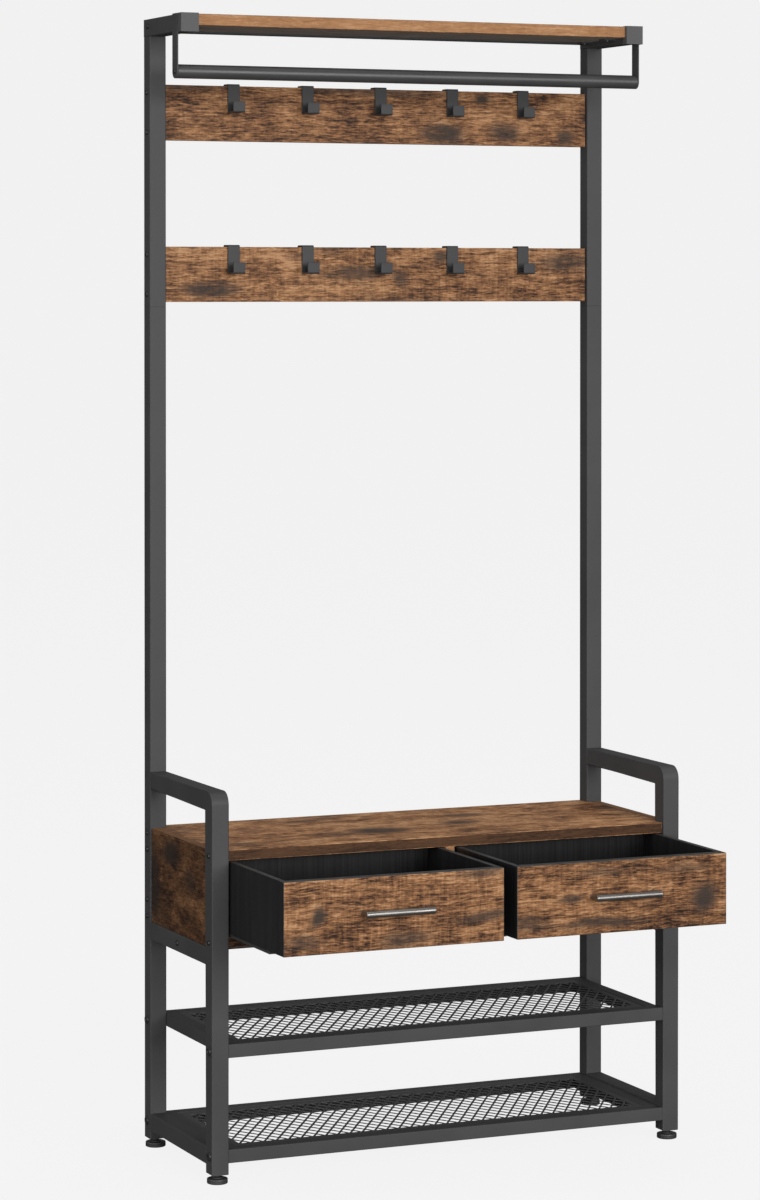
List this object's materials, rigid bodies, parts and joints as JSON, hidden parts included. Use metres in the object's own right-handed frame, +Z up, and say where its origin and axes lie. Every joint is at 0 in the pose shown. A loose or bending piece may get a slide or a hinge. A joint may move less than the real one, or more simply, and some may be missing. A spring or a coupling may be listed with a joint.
{
  "type": "hall tree with hooks",
  "caption": "Steel tube hall tree with a top shelf, hanging rod, boards of sliding coat hooks, a bench box with drawers, and mesh shoe shelves on levelling feet.",
  "frame": {"origin": "on the floor, midway between the four feet, on the centre planes of the steel frame's width and depth", "axes": "+X towards the right-hand side frame, -Y towards the front where the drawers open, +Z up"},
  "size_m": [0.809, 0.5414, 1.79],
  "materials": {
    "frame_steel": "matt charcoal powder coat",
    "hook_steel": "satin charcoal powder coat",
    "mesh_steel": "matt charcoal powder coat on expanded mesh",
    "rustic_board": "rustic brown wood-grain board, satin",
    "drawer_front_board": "rustic brown wood-grain board with dark edges, satin",
    "drawer_black_board": "black melamine board",
    "black_plastic": "fine-textured black plastic",
    "handle_metal": "dark brushed metal",
    "fastener_steel": "black oxide",
    "dowel_beech": "bare beech"
  },
  "bodies": {
    "frame": {"lower_back_posts": "frame_steel", "upper_back_posts": "frame_steel", "post_sleeves": "frame_steel", "front_posts": "frame_steel", "arm_rails": "frame_steel", "mid_side_rails": "frame_steel", "bottom_side_rails": "frame_steel", "top_side_rails": "frame_steel", "top_back_rail": "frame_steel", "box_support_bar": "frame_steel", "rail_caps": "black_plastic", "top_shelf_board": "rustic_board", "shelf_tabs": "frame_steel", "hanging_rod": "frame_steel", "hanger_straps": "frame_steel", "rod_end_plugs": "black_plastic", "hook_board_upper": "rustic_board", "hook_board_lower": "rustic_board", "bench_top": "rustic_board", "box_bottom": "rustic_board", "back_panel": "rustic_board", "side_panel_left": "rustic_board", "side_panel_right": "rustic_board", "centre_divider": "rustic_board", "shelf_long_rails": "frame_steel", "shelf_end_rails": "frame_steel", "shelf_meshes": "mesh_steel", "foot_inserts": "black_plastic", "frame_fasteners": "fastener_steel", "wood_dowels": "dowel_beech"},
    "drawer_left": {"drawer_left_front": "drawer_front_board", "drawer_left_outer_side": "drawer_black_board", "drawer_left_inner_side": "drawer_black_board", "drawer_left_back": "drawer_black_board", "drawer_left_base": "drawer_black_board", "drawer_left_handle": "handle_metal", "drawer_left_screws": "fastener_steel", "drawer_left_glides": "black_plastic"},
    "drawer_right": {"drawer_right_front": "drawer_front_board", "drawer_right_outer_side": "drawer_black_board", "drawer_right_inner_side": "drawer_black_board", "drawer_right_back": "drawer_black_board", "drawer_right_base": "drawer_black_board", "drawer_right_handle": "handle_metal", "drawer_right_screws": "fastener_steel", "drawer_right_glides": "black_plastic"},
    "hook_upper_1": {"hook_upper_1": "hook_steel"},
    "hook_upper_2": {"hook_upper_2": "hook_steel"},
    "hook_upper_3": {"hook_upper_3": "hook_steel"},
    "hook_upper_4": {"hook_upper_4": "hook_steel"},
    "hook_upper_5": {"hook_upper_5": "hook_steel"},
    "hook_lower_1": {"hook_lower_1": "hook_steel"},
    "hook_lower_2": {"hook_lower_2": "hook_steel"},
    "hook_lower_3": {"hook_lower_3": "hook_steel"},
    "hook_lower_4": {"hook_lower_4": "hook_steel"},
    "hook_lower_5": {"hook_lower_5": "hook_steel"},
    "foot_front_left": {"foot_front_left": "black_plastic"},
    "foot_front_right": {"foot_front_right": "black_plastic"},
    "foot_back_left": {"foot_back_left": "black_plastic"},
    "foot_back_right": {"foot_back_right": "black_plastic"}
  },
  "joints": [
    {"name": "drawer_left_slide", "type": "slide", "parent": "frame", "child": "drawer_left", "axis": [0, -1, 0], "range_m": [-0.22, 0.01]},
    {"name": "drawer_right_slide", "type": "slide", "parent": "frame", "child": "drawer_right", "axis": [0, -1, 0], "range_m": [-0.22, 0.01]},
    {"name": "hook_upper_1_slide", "type": "slide", "parent": "frame", "child": "hook_upper_1", "axis": [1, 0, 0], "range_m": [-0.05, 0.05]},
    {"name": "hook_upper_2_slide", "type": "slide", "parent": "frame", "child": "hook_upper_2", "axis": [1, 0, 0], "range_m": [-0.05, 0.05]},
    {"name": "hook_upper_3_slide", "type": "slide", "parent": "frame", "child": "hook_upper_3", "axis": [1, 0, 0], "range_m": [-0.05, 0.05]},
    {"name": "hook_upper_4_slide", "type": "slide", "parent": "frame", "child": "hook_upper_4", "axis": [1, 0, 0], "range_m": [-0.05, 0.05]},
    {"name": "hook_upper_5_slide", "type": "slide", "parent": "frame", "child": "hook_upper_5", "axis": [1, 0, 0], "range_m": [-0.05, 0.05]},
    {"name": "hook_lower_1_slide", "type": "slide", "parent": "frame", "child": "hook_lower_1", "axis": [1, 0, 0], "range_m": [-0.05, 0.05]},
    {"name": "hook_lower_2_slide", "type": "slide", "parent": "frame", "child": "hook_lower_2", "axis": [1, 0, 0], "range_m": [-0.05, 0.05]},
    {"name": "hook_lower_3_slide", "type": "slide", "parent": "frame", "child": "hook_lower_3", "axis": [1, 0, 0], "range_m": [-0.05, 0.05]},
    {"name": "hook_lower_4_slide", "type": "slide", "parent": "frame", "child": "hook_lower_4", "axis": [1, 0, 0], "range_m": [-0.05, 0.05]},
    {"name": "hook_lower_5_slide", "type": "slide", "parent": "frame", "child": "hook_lower_5", "axis": [1, 0, 0], "range_m": [-0.05, 0.05]},
    {"name": "foot_front_left_levelling", "type": "slide", "parent": "frame", "child": "foot_front_left", "axis": [0, 0, -1], "range_m": [-0.004, 0.01]},
    {"name": "foot_front_right_levelling", "type": "slide", "parent": "frame", "child": "foot_front_right", "axis": [0, 0, -1], "range_m": [-0.004, 0.01]},
    {"name": "foot_back_left_levelling", "type": "slide", "parent": "frame", "child": "foot_back_left", "axis": [0, 0, -1], "range_m": [-0.004, 0.01]},
    {"name": "foot_back_right_levelling", "type": "slide", "parent": "frame", "child": "foot_back_right", "axis": [0, 0, -1], "range_m": [-0.004, 0.01]}
  ]
}
